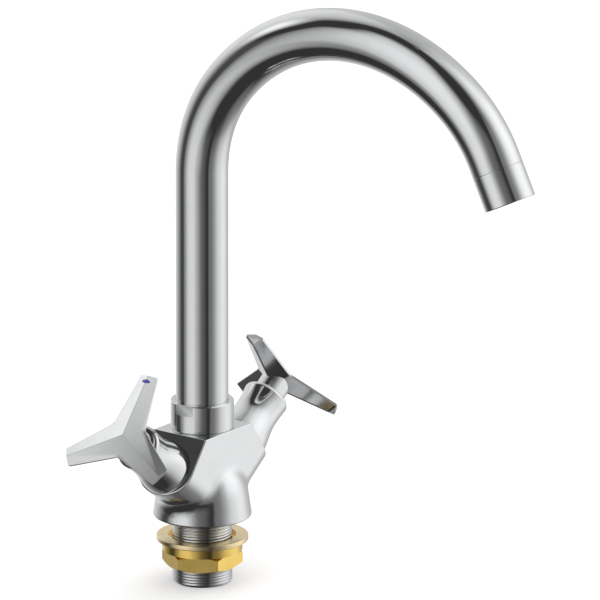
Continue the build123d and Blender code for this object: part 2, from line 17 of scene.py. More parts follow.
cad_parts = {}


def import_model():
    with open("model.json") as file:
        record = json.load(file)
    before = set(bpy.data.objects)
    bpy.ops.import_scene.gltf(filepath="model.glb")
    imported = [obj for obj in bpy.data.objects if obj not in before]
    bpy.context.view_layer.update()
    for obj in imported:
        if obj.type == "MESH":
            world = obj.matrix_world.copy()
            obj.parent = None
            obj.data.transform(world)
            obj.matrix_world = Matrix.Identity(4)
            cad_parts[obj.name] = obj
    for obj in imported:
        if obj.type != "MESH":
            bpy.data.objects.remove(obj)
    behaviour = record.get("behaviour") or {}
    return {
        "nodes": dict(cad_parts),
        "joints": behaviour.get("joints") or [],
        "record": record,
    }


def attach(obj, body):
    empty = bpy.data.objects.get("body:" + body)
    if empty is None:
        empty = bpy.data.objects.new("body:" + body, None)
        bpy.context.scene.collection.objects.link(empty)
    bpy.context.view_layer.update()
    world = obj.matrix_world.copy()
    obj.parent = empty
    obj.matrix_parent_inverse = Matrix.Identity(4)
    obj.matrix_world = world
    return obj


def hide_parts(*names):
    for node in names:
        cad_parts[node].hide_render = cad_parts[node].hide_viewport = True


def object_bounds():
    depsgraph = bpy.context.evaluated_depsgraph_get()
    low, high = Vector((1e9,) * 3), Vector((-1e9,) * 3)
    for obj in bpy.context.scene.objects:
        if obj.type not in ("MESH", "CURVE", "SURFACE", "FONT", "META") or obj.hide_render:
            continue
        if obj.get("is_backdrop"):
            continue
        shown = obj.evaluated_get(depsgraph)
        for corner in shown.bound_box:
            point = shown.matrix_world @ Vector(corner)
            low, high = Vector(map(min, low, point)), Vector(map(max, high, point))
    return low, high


LOG = logging.getLogger("faucet")

MILLIMETRE = 0.001
TURN = 2 * math.pi
SAME_POINT = 1e-4  # millimetres between points that are merged
CREASE_DEG = 40.0  # edges of turned and swept pieces that turn more than this stay sharp
CLOUD_DETAIL, CLOUD_ROUGHNESS = 3.0, 0.55  # of the noise that varies a finish's colour and gloss
WAVE_DETAIL, GRAIN_DETAIL = 1.0, 4.0  # of the noise in polished and in moulded surfaces
RING_WANDER = 0.4  # how far the rings of a lathe tool stray
RING_RATE = 20  # Blender's ring texture draws a ring for each 2 pi of 20 times its coordinate
COAT_ROUGHNESS = 0.04

Point = tuple[float, float]
Node = bpy.types.Node
NodeTree = bpy.types.NodeTree
Object = bpy.types.Object
Socket = bpy.types.NodeSocket
MATH = "ShaderNodeMath"
VECTOR_MATH = "ShaderNodeVectorMath"


# ---- helpers for colours, nodes and meshes ----


def linear(colour: str) -> tuple[float, float, float, float]:
    """Turns an sRGB colour such as "#C0C4C8" into linear RGBA.

    Args:
        colour: six hex digits after a hash.

    Returns:
        Linear red, green, blue and an alpha of 1.
    """
    channels = [int(colour[start : start + 2], 16) / 255 for start in (1, 3, 5)]
    # the numbers are the sRGB standard's own
    curve = [c / 12.92 if c <= 0.04045 else ((c + 0.055) / 1.055) ** 2.4 for c in channels]
    return (curve[0], curve[1], curve[2], 1.0)


def add_node(tree: NodeTree, kind: str, inputs: dict | tuple = (), **settings) -> Node:
    """Adds a node with its settings and links.

    Args:
        tree: the tree that gets the node.
        kind: Blender's name for the node's type.
        inputs: what goes into each input, by name or number or else in order: a value to set, an output
            socket to link, or a node, whose first output is linked.
        **settings: properties of the node itself.

    Returns:
        The new node.
    """
    node = tree.nodes.new(kind)
    for name, value in settings.items():
        setattr(node, name, value)
    for key, value in inputs.items() if isinstance(inputs, dict) else enumerate(inputs):
        source = value.outputs[0] if isinstance(value, Node) else value
        if isinstance(source, Socket):
            tree.links.new(source, node.inputs[key])
        else:
            node.inputs[key].default_value = source
    return node


def clean_tree(owner: bpy.types.Material | bpy.types.World) -> NodeTree:
    """Returns the node tree of a material or world, emptied."""
    owner.use_nodes = True
    owner.node_tree.nodes.clear()
    return owner.node_tree


def new_object(data: bpy.types.ID) -> Object:
    """Links a mesh, lamp or camera into the scene as an object of its name, at the origin."""
    thing = bpy.data.objects.new(data.name, data)
    bpy.context.scene.collection.objects.link(thing)
    return thing


def shade(mesh: bpy.types.Mesh, crease_deg: float = CREASE_DEG) -> None:
    """Shades a mesh smoothly and keeps the edges sharp that turn more than crease_deg."""
    mesh.polygons.foreach_set("use_smooth", [True] * len(mesh.polygons))
    mesh.set_sharp_from_angle(angle=math.radians(crease_deg))


def finish_mesh(builder: bmesh.types.BMesh, name: str, place: Matrix) -> bpy.types.Mesh:
    """Merges doubles, turns the faces outward, places the mesh and shades it.

    Args:
        builder: the mesh being built, in millimetres about its own axis. It is freed.
        name: name of the new mesh.
        place: where it goes, in metres.

    Returns:
        The placed mesh.
    """
    bmesh.ops.remove_doubles(builder, verts=builder.verts, dist=SAME_POINT)
    bmesh.ops.recalc_face_normals(builder, faces=builder.faces)
    mesh = bpy.data.meshes.new(name)
    builder.to_mesh(mesh)
    builder.free()
    mesh.transform(place @ Matrix.Scale(MILLIMETRE, 4))
    shade(mesh)
    return mesh


def bake(thing: Object) -> None:
    """Turns an object's modifiers into plain mesh and removes them.

    Args:
        thing: the object.
    """
    bpy.context.view_layer.update()
    evaluated = thing.evaluated_get(bpy.context.evaluated_depsgraph_get())
    mesh = bpy.data.meshes.new_from_object(evaluated)
    thing.modifiers.clear()
    thing.data = mesh


def weight_normals(thing: Object, large_face_weight: int = 80) -> None:
    """Lets the large faces lead the shading, so that flats stay flat beside rounded edges.

    Args:
        thing: the object.
        large_face_weight: how strongly they lead, where 50 is neutral.
    """
    modifier = thing.modifiers.new("large_faces_lead", "WEIGHTED_NORMAL")
    modifier.keep_sharp = True
    modifier.weight = large_face_weight


# ---- turned profiles ----


@dataclass(frozen=True)
class Corner:
    """A corner of a turned profile: its radius and height, and how much it is rounded."""

    radius: float
    height: float
    rounding: float = 0.0


def round_corners(corners: list[Corner], steps: int = 4, straight_deg: float = 176.0) -> list[Point]:
    """Turns the corners of a closed profile into points, with an arc at each rounded corner.

    Args:
        corners: the corners in order.
        steps: straight pieces in each arc.
        straight_deg: corners wider than this are left as they are.

    Returns:
        Radius and height of each point.
    """
    points: list[Point] = []
    for index, corner in enumerate(corners):
        here = Vector((corner.radius, corner.height))
        before = corners[index - 1]
        after = corners[(index + 1) % len(corners)]
        back = (Vector((before.radius, before.height)) - here).normalized()
        ahead = (Vector((after.radius, after.height)) - here).normalized()
        half_angle = back.angle(ahead) / 2
        if corner.rounding == 0 or half_angle > math.radians(straight_deg) / 2:
            points.append((here.x, here.y))
            continue
        reach = corner.rounding / math.tan(half_angle)
        start, end = here + back * reach, here + ahead * reach
        centre = here + (back + ahead).normalized() * corner.rounding / math.sin(half_angle)
        for step in range(steps + 1):
            turn = (start - centre).lerp(end - centre, step / steps).normalized()
            point = centre + turn * corner.rounding
            points.append((point.x, point.y))
    return points


def tangent_arc(start: Vector, heading: Vector, end: Vector, steps: int) -> list[Point]:
    """Works out the arc that leaves start along heading and reaches end.

    Args:
        start: first point, radius and height.
        heading: direction at the start.
        end: last point.
        steps: straight pieces in the arc.

    Returns:
        The points after start, up to and with end.
    """
    chord = end - start
    sweep = 2 * heading.angle_signed(chord)
    points = []
    for step in range(1, steps + 1):
        part = sweep * step / steps
        length = chord.length * math.sin(part / 2) / math.sin(sweep / 2)
        turned = Matrix.Rotation(-part / 2, 2) @ heading.normalized()
        points.append(tuple(start + turned * length))
    return points


def lathe(name: str, profile: list[Point], place: Matrix, segments: int = 128) -> bpy.types.Mesh:
    """Turns a closed profile about its axis into a closed shell.

    Args:
        name: name of the mesh.
        profile: radius and height of each point, in millimetres.
        place: where the axis goes, in metres.
        segments: faces round the axis.

    Returns:
        The placed mesh.
    """
    builder = bmesh.new()
    rings = []
    for step in range(segments):
        angle = TURN * step / segments
        rings.append([builder.verts.new((r * math.cos(angle), r * math.sin(angle), h)) for r, h in profile])
    for step, ring in enumerate(rings):
        following = rings[(step + 1) % segments]
        for index in range(len(profile)):
            nearby = (index + 1) % len(profile)
            builder.faces.new((ring[index], following[index], following[nearby], ring[nearby]))
    return finish_mesh(builder, name, place)


# ---- finishes ----


class Relief(Enum):
    """How a surface was made, which gives it its fine relief."""

    POLISHED = "broad shallow waves left by a polishing wheel under the plate"
    TURNED = "rings left by the point of a lathe tool"
    MOULDED = "fine even grain of a mould"


@dataclass(frozen=True)
class Finish:
    """What a surface is made of and how it was worked, with sizes in millimetres."""

    name: str
    colour: str
    deep_colour: str
    roughness: float
    relief: Relief
    relief_width: float
    relief_height: float
    metallic: float = 0.0
    smear: float = 0.0
    smear_width: float = 9.0
    coat: float = 0.0

    def material(self) -> bpy.types.Material:
        """Builds the procedural material, if it isn't there yet.

        Returns:
            The material.
        """
        if self.name in bpy.data.materials:
            return bpy.data.materials[self.name]
        material = bpy.data.materials.new(self.name)
        tree = clean_tree(material)
        place = add_node(tree, "ShaderNodeTexCoord").outputs["Object"]
        smears = {"Detail": CLOUD_DETAIL, "Roughness": CLOUD_ROUGHNESS}
        smears |= {"Vector": place, "Scale": 1 / (self.smear_width * MILLIMETRE)}
        cloud = add_node(tree, "ShaderNodeTexNoise", smears).outputs["Fac"]
        shades = {"Factor": cloud, 6: linear(self.colour), 7: linear(self.deep_colour)}
        colour = add_node(tree, "ShaderNodeMix", shades, data_type="RGBA").outputs[2]
        ends = {"Value": cloud, "To Min": self.roughness - self.smear, "To Max": self.roughness + self.smear}
        roughness = add_node(tree, "ShaderNodeMapRange", ends)
        depth = self.relief_height * MILLIMETRE
        relief = {"Height": self.height(tree, place), "Strength": 1.0, "Distance": depth}
        bump = add_node(tree, "ShaderNodeBump", relief)
        surface = {"Base Color": colour, "Roughness": roughness, "Normal": bump, "Metallic": self.metallic}
        surface |= {"Coat Weight": self.coat, "Coat Roughness": COAT_ROUGHNESS}
        shader = add_node(tree, "ShaderNodeBsdfPrincipled", surface)
        add_node(tree, "ShaderNodeOutputMaterial", {"Surface": shader})
        return material

    def height(self, tree: NodeTree, place: Socket) -> Socket:
        """Adds the texture of the relief.

        Args:
            tree: the material's tree.
            place: the socket with object coordinates, in metres.

        Returns:
            The height, from 0 to 1.
        """
        width = self.relief_width * MILLIMETRE
        if self.relief is Relief.TURNED:
            rings = {"Vector": place, "Scale": TURN / (RING_RATE * width)}
            rings |= {"Distortion": RING_WANDER, "Detail": WAVE_DETAIL}
            wave = add_node(tree, "ShaderNodeTexWave", rings, wave_type="RINGS", rings_direction="Z")
            return wave.outputs["Fac"]
        detail = WAVE_DETAIL if self.relief is Relief.POLISHED else GRAIN_DETAIL
        waves = {"Vector": place, "Scale": 1 / width, "Detail": detail}
        return add_node(tree, "ShaderNodeTexNoise", waves).outputs["Fac"]


# Bright nickel and chrome plate on brass: a hard mirror with a cool tint and almost no scatter.
CHROME = Finish("polished_chrome_plate", "#E5E6E7", "#DDDEDF", 0.07, Relief.POLISHED, 11.0, 0.004, 1.0, 0.02)
# The same plate on a polished casting, which keeps a slow waviness from the hand wheel.
CAST_CHROME = Finish(
    "chrome_plated_casting", "#E5E6E7", "#DDDEDF", 0.12, Relief.POLISHED, 8.0, 0.012, 1.0, 0.025
)
# Plate over a cut thread is thinner and duller in the roots.
THREAD_CHROME = Finish(
    "chrome_plated_thread", "#DADBDC", "#C6C8CA", 0.17, Relief.TURNED, 0.7, 0.003, 1.0, 0.05, 4.0
)
# Free cutting brass straight from the lathe: warm yellow, rings drawn wider than real to show.
BRASS = Finish("machined_brass", "#F6D884", "#EDC65E", 0.15, Relief.TURNED, 0.8, 0.003, 1.0, 0.05, 7.0)
# The washer is stamped from sheet and tumbled, so that it is duller than the nut. Its paler colour is a
# painted highlight: the brighter look of its upward facing top, lit from above.
SHEET_BRASS_PAINTED_HIGHLIGHT = Finish("tumbled_brass_sheet_painted_highlight", "#FAE9C4", "#F3DAA0", 0.22, Relief.MOULDED, 0.5, 0.003, 1.0, 0.06)
# Turned brass of the inner works, with a dull film from the wash.
DULL_BRASS = Finish("turned_brass", "#C9A35A", "#B58A3E", 0.3, Relief.TURNED, 0.6, 0.004, 1.0, 0.06, 6.0)
# Sintered alumina, lapped flat: an even warm white with a low sheen.
ALUMINA = Finish("lapped_alumina", "#EFEBE0", "#E4DFD2", 0.28, Relief.MOULDED, 0.4, 0.002, smear=0.04)
# Moulded nitrile rubber: near black, dull, with the fine grain of its mould.
RUBBER = Finish("nitrile_rubber", "#1D1D1E", "#262627", 0.62, Relief.MOULDED, 0.5, 0.01, smear=0.08)
# Moulded acetal: milky white, slightly waxy.
ACETAL = Finish("moulded_acetal", "#E6E6E1", "#DCDCD6", 0.38, Relief.MOULDED, 0.8, 0.006, smear=0.05)
# Stamped stainless steel with a tumbled surface.
STAINLESS = Finish("stainless_steel", "#B9BBBD", "#A4A6A9", 0.3, Relief.MOULDED, 0.5, 0.004, 1.0, 0.06)
# Glass enamel filled into a recess and fired: deep colour under a wet gloss.
BLUE_ENAMEL = Finish(
    "blue_enamel", "#3B22A6", "#2E1A86", 0.2, Relief.MOULDED, 1.5, 0.01, smear=0.03, coat=1.0
)
RED_ENAMEL = Finish("red_enamel", "#B3131F", "#930E18", 0.2, Relief.MOULDED, 1.5, 0.01, smear=0.03, coat=1.0)

FINISH_OF_SLOT = {
    "chrome": CHROME,
    "chrome_thread": THREAD_CHROME,
    "brass": BRASS,
    "turned_brass": DULL_BRASS,
    "ceramic": ALUMINA,
    "rubber": RUBBER,
    "plastic": ACETAL,
    "steel": STAINLESS,
    "blue_mark": BLUE_ENAMEL,
    "red_mark": RED_ENAMEL,
}


def dress(thing: Object, finish: Finish) -> None:
    """Gives every face of an object one finish."""
    thing.data.materials.clear()
    thing.data.materials.append(finish.material())


def keep_out_of_reflections(thing: Object) -> None:
    """Leaves a valve's piece out of reflections, because the photograph's tube and body show none."""
    thing.visible_glossy = False


def fit(thing: Object, body: str, node: str, slot: str, finish: Finish | None = None) -> None:
    """Hands a finished piece to the frame and reports it.

    Args:
        thing: the piece, in place.
        body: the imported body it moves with.
        node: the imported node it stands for.
        slot: the record's material slot.
        finish: its finish, where it isn't the slot's own.
    """
    dress(thing, finish or FINISH_OF_SLOT[slot])
    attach(thing, body)
    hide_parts(node)
    LOG.info("%s: %d faces on %s", thing.name, len(thing.data.polygons), body)


# ---- geometry node trees ----


class GeometryTree:
    """A geometry node tree with named inputs, built step by step."""

    def __init__(self, name: str, inputs: dict[str, str]) -> None:
        """Makes the tree and its sockets.

        Args:
            name: the tree's name.
            inputs: Blender's socket type for each named input.
        """
        self.tree = bpy.data.node_groups.new(name, "GeometryNodeTree")
        face = self.tree.interface
        face.new_socket("Geometry", in_out="INPUT", socket_type="NodeSocketGeometry")
        self.identifiers = {
            label: face.new_socket(label, in_out="INPUT", socket_type=kind).identifier
            for label, kind in inputs.items()
        }
        face.new_socket("Geometry", in_out="OUTPUT", socket_type="NodeSocketGeometry")
        self.inputs = add_node(self.tree, "NodeGroupInput").outputs

    def close(self, geometry: Node) -> None:
        """Realizes the geometry, sets its material and links the output.

        Args:
            geometry: the node that gives the geometry.
        """
        real = add_node(self.tree, "GeometryNodeRealizeInstances", (geometry,))
        finish = {"Geometry": real, "Material": self.inputs["Finish"]}
        dressed = add_node(self.tree, "GeometryNodeSetMaterial", finish)
        add_node(self.tree, "NodeGroupOutput", (dressed,))

    def apply(self, thing: Object, values: dict) -> None:
        """Runs the tree on an object and keeps the result as plain mesh.

        Args:
            thing: the object.
            values: a value for each named input.
        """
        modifier = thing.modifiers.new(self.tree.name, "NODES")
        modifier.node_group = self.tree
        for label, value in values.items():
            modifier[self.identifiers[label]] = value
        bake(thing)


def sweep_tree() -> GeometryTree:
    """Builds the tree that sweeps a round section along a path made of edges.

    Returns:
        The tree.
    """
    sweep = GeometryTree(
        "swept_round_section",
        {"Radius": "NodeSocketFloat", "Sides": "NodeSocketInt", "Finish": "NodeSocketMaterial"},
    )
    tree, inputs = sweep.tree, sweep.inputs
    path = add_node(tree, "GeometryNodeMeshToCurve", {"Mesh": inputs["Geometry"]})
    circle = {"Resolution": inputs["Sides"], "Radius": inputs["Radius"]}
    section = add_node(tree, "GeometryNodeCurvePrimitiveCircle", circle)
    sweep.close(add_node(tree, "GeometryNodeCurveToMesh", {"Curve": path, "Profile Curve": section}))
    return sweep


def thread_tree(root: float = 0.25, crest: float = 0.125, wall_share: float = 0.999) -> GeometryTree:
    """Builds the tree that presses a screw thread about Z into the outer wall of a finely ringed bar.

    Args:
        root: flat at the bottom of the thread, as a share of the pitch.
        crest: flat at its top, as a share of the pitch.
        wall_share: points further out than this share of the major radius are on the wall.

    Returns:
        The tree.
    """
    lengths = dict.fromkeys(("Major Radius", "Depth", "Pitch", "Top"), "NodeSocketFloat")
    thread = GeometryTree("rolled_screw_thread", {**lengths, "Finish": "NodeSocketMaterial"})
    tree, inputs = thread.tree, thread.inputs
    position = add_node(tree, "GeometryNodeInputPosition")
    x, y, z = add_node(tree, "ShaderNodeSeparateXYZ", (position,)).outputs
    # how far up its own pitch a place is, then how far out of the groove
    angle = add_node(tree, MATH, (y, x), operation="ARCTAN2")
    turns = add_node(tree, MATH, (angle, TURN), operation="DIVIDE")
    pitches = add_node(tree, MATH, (z, inputs["Pitch"]), operation="DIVIDE")
    climbed = add_node(tree, MATH, (pitches, turns), operation="SUBTRACT")
    phase = add_node(tree, MATH, (climbed,), operation="FRACT")
    doubled = add_node(tree, MATH, (phase, 2.0), operation="MULTIPLY")
    centred = add_node(tree, MATH, (doubled, 1.0), operation="SUBTRACT")
    flank = add_node(tree, MATH, (centred,), operation="ABSOLUTE")
    slope = {"Value": flank, "From Min": root, "From Max": 1 - crest, "To Min": 1.0, "To Max": 0.0}
    cut = add_node(tree, "ShaderNodeMapRange", slope)
    # only the outer wall below the top is pressed in
    flat = add_node(tree, VECTOR_MATH, (position, (1.0, 1.0, 0.0)), operation="MULTIPLY")
    radius = add_node(tree, VECTOR_MATH, (flat,), operation="LENGTH").outputs["Value"]
    below = add_node(tree, MATH, (z, inputs["Top"]), operation="LESS_THAN")
    wall = add_node(tree, MATH, (inputs["Major Radius"], wall_share), operation="MULTIPLY")
    outer = add_node(tree, MATH, (radius, wall), operation="GREATER_THAN")
    deep = add_node(tree, MATH, (cut, inputs["Depth"]), operation="MULTIPLY")
    inward = add_node(tree, MATH, (deep, below), operation="MULTIPLY")
    share = add_node(tree, MATH, (inward, radius), operation="DIVIDE")
    outward = add_node(tree, MATH, (share, -1.0), operation="MULTIPLY")
    offset = add_node(tree, VECTOR_MATH, {0: flat, "Scale": outward}, operation="SCALE")
    press = {"Geometry": inputs["Geometry"], "Selection": outer, "Offset": offset}
    thread.close(add_node(tree, "GeometryNodeSetPosition", press))
    return thread


# ---- the faucet ----


def refined_copy(node: Object, name: str, crease_deg: float = 32.0) -> Object:
    """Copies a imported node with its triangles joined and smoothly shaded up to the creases.

    Args:
        node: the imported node's object.
        name: name of the copy.
        crease_deg: edges that turn more than this stay sharp.

    Returns:
        The copy, in the node's place.
    """
    joined, sliver = 0.002 * MILLIMETRE, 0.001 * MILLIMETRE
    mesh = bpy.data.meshes.new(name)
    mesh.from_pydata([v.co for v in node.data.vertices], [], [list(p.vertices) for p in node.data.polygons])
    builder = bmesh.new()
    builder.from_mesh(mesh)
    bmesh.ops.remove_doubles(builder, verts=builder.verts, dist=joined)
    bmesh.ops.dissolve_degenerate(builder, edges=builder.edges, dist=sliver)
    builder.to_mesh(mesh)
    builder.free()
    shade(mesh, crease_deg)
    thing = new_object(mesh)
    weight_normals(thing)
    return thing


@dataclass
class CastBody:
    """The body casting with its collar nut."""

    nodes: dict[str, Object]

    def build(self) -> None:
        """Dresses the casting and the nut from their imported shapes."""
        casting = refined_copy(self.nodes["body_casting"], "plated_body")
        fit(casting, "faucet_body", "body_casting", "chrome", CAST_CHROME)
        collar = refined_copy(self.nodes["collar_nut"], "plated_collar")
        fit(collar, "faucet_body", "collar_nut", "chrome")


@dataclass
class Spout:
    """The swan neck tube and its aerator sleeve."""

    tube_radius: float = 14.0
    wall: float = 1.5
    foot_height: float = 60.05
    riser_top: float = 190.2
    side_bend: float = 82.0
    top_bend: float = 108.5
    bend_angles: tuple[float, float, float] = (39.0, 90.0, 25.0)
    straight_end: float = 5.0
    degrees_per_step: float = 1.5
    sides: int = 128
    sleeve_length: float = 19.0
    sleeve_bore: float = 10.5
    spigot_length: float = 4.5
    spigot_clearance: float = 0.05
    spigot_rounding: float = 0.2
    lip: float = 1.5
    lip_radius: float = 9.5
    lip_rounding: float = 0.3
    seam_rounding: float = 0.35
    mouth_rounding: float = 0.6

    def path(self) -> list[Vector]:
        """Works out the centre line: a riser, three tangent arcs and a short straight end.

        Returns:
            The points of the line, in millimetres.
        """
        points = [Vector((0, 0, self.foot_height)), Vector((0, 0, self.riser_top))]
        heading = 0.0
        for radius, angle in zip((self.side_bend, self.top_bend, self.side_bend), self.bend_angles):
            steps = round(angle / self.degrees_per_step)
            start = points[-1]
            first = math.radians(heading)
            for step in range(1, steps + 1):
                turned = first + math.radians(angle) * step / steps
                across = radius * (math.cos(first) - math.cos(turned))
                climbed = radius * (math.sin(turned) - math.sin(first))
                points.append(start + Vector((0, -across, climbed)))
            heading += angle
        points.append(points[-1] + self.heading() * self.straight_end)
        return points

    def heading(self) -> Vector:
        """Returns the direction in which the water leaves."""
        turned = math.radians(sum(self.bend_angles))
        return Vector((0, -math.sin(turned), math.cos(turned)))

    def build(self) -> None:
        """Builds the tube and the sleeve."""
        self.build_tube()
        self.build_sleeve()

    def build_tube(self) -> None:
        """Sweeps the tube along its centre line and gives it its wall."""
        route = [point * MILLIMETRE for point in self.path()]
        mesh = bpy.data.meshes.new("swan_neck")
        mesh.from_pydata(route, [(i, i + 1) for i in range(len(route) - 1)], [])
        tube = new_object(mesh)
        values = {"Radius": self.tube_radius * MILLIMETRE, "Sides": self.sides, "Finish": CHROME.material()}
        sweep_tree().apply(tube, values)
        builder = bmesh.new()
        builder.from_mesh(tube.data)
        bmesh.ops.recalc_face_normals(builder, faces=builder.faces)
        builder.to_mesh(tube.data)
        builder.free()
        wall = tube.modifiers.new("wall", "SOLIDIFY")
        wall.thickness = self.wall * MILLIMETRE
        wall.offset = -1
        bake(tube)
        shade(tube.data)
        fit(tube, "spout", "spout_tube", "chrome")

    def build_sleeve(self) -> None:
        """Turns the aerator's sleeve, with its spigot in the tube and its lip at the mouth."""
        spigot = self.tube_radius - self.wall - self.spigot_clearance
        profile = round_corners(
            [
                Corner(self.sleeve_bore, -self.spigot_length),
                Corner(spigot, -self.spigot_length, self.spigot_rounding),
                Corner(spigot, 0),
                Corner(self.tube_radius, 0, self.seam_rounding),
                Corner(self.tube_radius, self.sleeve_length, self.mouth_rounding),
                Corner(self.lip_radius, self.sleeve_length, self.lip_rounding),
                Corner(self.lip_radius, self.sleeve_length - self.lip),
                Corner(self.sleeve_bore, self.sleeve_length - self.lip),
            ]
        )
        out = self.heading()
        side = Vector((1, 0, 0))
        turn = Matrix((side, out.cross(side), out)).transposed().to_4x4()
        place = Matrix.Translation(self.path()[-1] * MILLIMETRE) @ turn
        sleeve = new_object(lathe("aerator_sleeve", profile, place, self.sides))
        weight_normals(sleeve)
        fit(sleeve, "spout", "aerator_housing", "chrome")


@dataclass
class Bonnet:
    """The waisted shroud over a valve, "cold" or "hot", in the valve's place."""

    side: str
    place: Matrix
    base_radius: float = 14.5
    waist_radius: float = 11.9
    waist_level: float = 20.0
    rim_radius: float = 12.5
    rim_level: float = 30.0
    length: float = 32.5
    mouth_radius: float = 8.9
    mouth_wall: float = 1.4
    lip: float = 1.5
    wall: float = 1.3
    flare_steps: int = 28
    rim_steps: int = 10

    def profile(self) -> list[Point]:
        """Works out the outline: an eased flare, a slow swell to the rim and a round shoulder.

        Returns:
            Radius and height of each point.
        """
        points: list[Point] = []
        swing = (self.base_radius - self.waist_radius) / 2
        for step in range(self.flare_steps + 1):
            share = step / self.flare_steps
            radius = self.waist_radius + swing * (1 + math.cos(math.pi * share))
            points.append((radius, self.waist_level * share))
        waist = Vector(points[-1])
        rim = Vector((self.rim_radius, self.rim_level))
        swell = tangent_arc(waist, Vector((0, 1)), rim, self.rim_steps)
        points += swell
        heading = Vector(swell[-1]) - Vector(swell[-2])
        end = Vector((self.mouth_radius + self.mouth_wall, self.length))
        points += tangent_arc(rim, heading, end, self.rim_steps)
        bore = self.waist_radius - self.wall
        points += [
            (self.mouth_radius, self.length),
            (self.mouth_radius, self.length - self.lip),
            (bore, self.rim_level - self.lip),
            (bore, 0.0),
        ]
        return points

    def build(self) -> None:
        """Turns the bonnet on its valve axis."""
        bonnet = new_object(lathe(f"flared_bonnet_{self.side}", self.profile(), self.place))
        weight_normals(bonnet)
        keep_out_of_reflections(bonnet)
        fit(bonnet, "faucet_body", f"bonnet_{self.side}", "chrome")


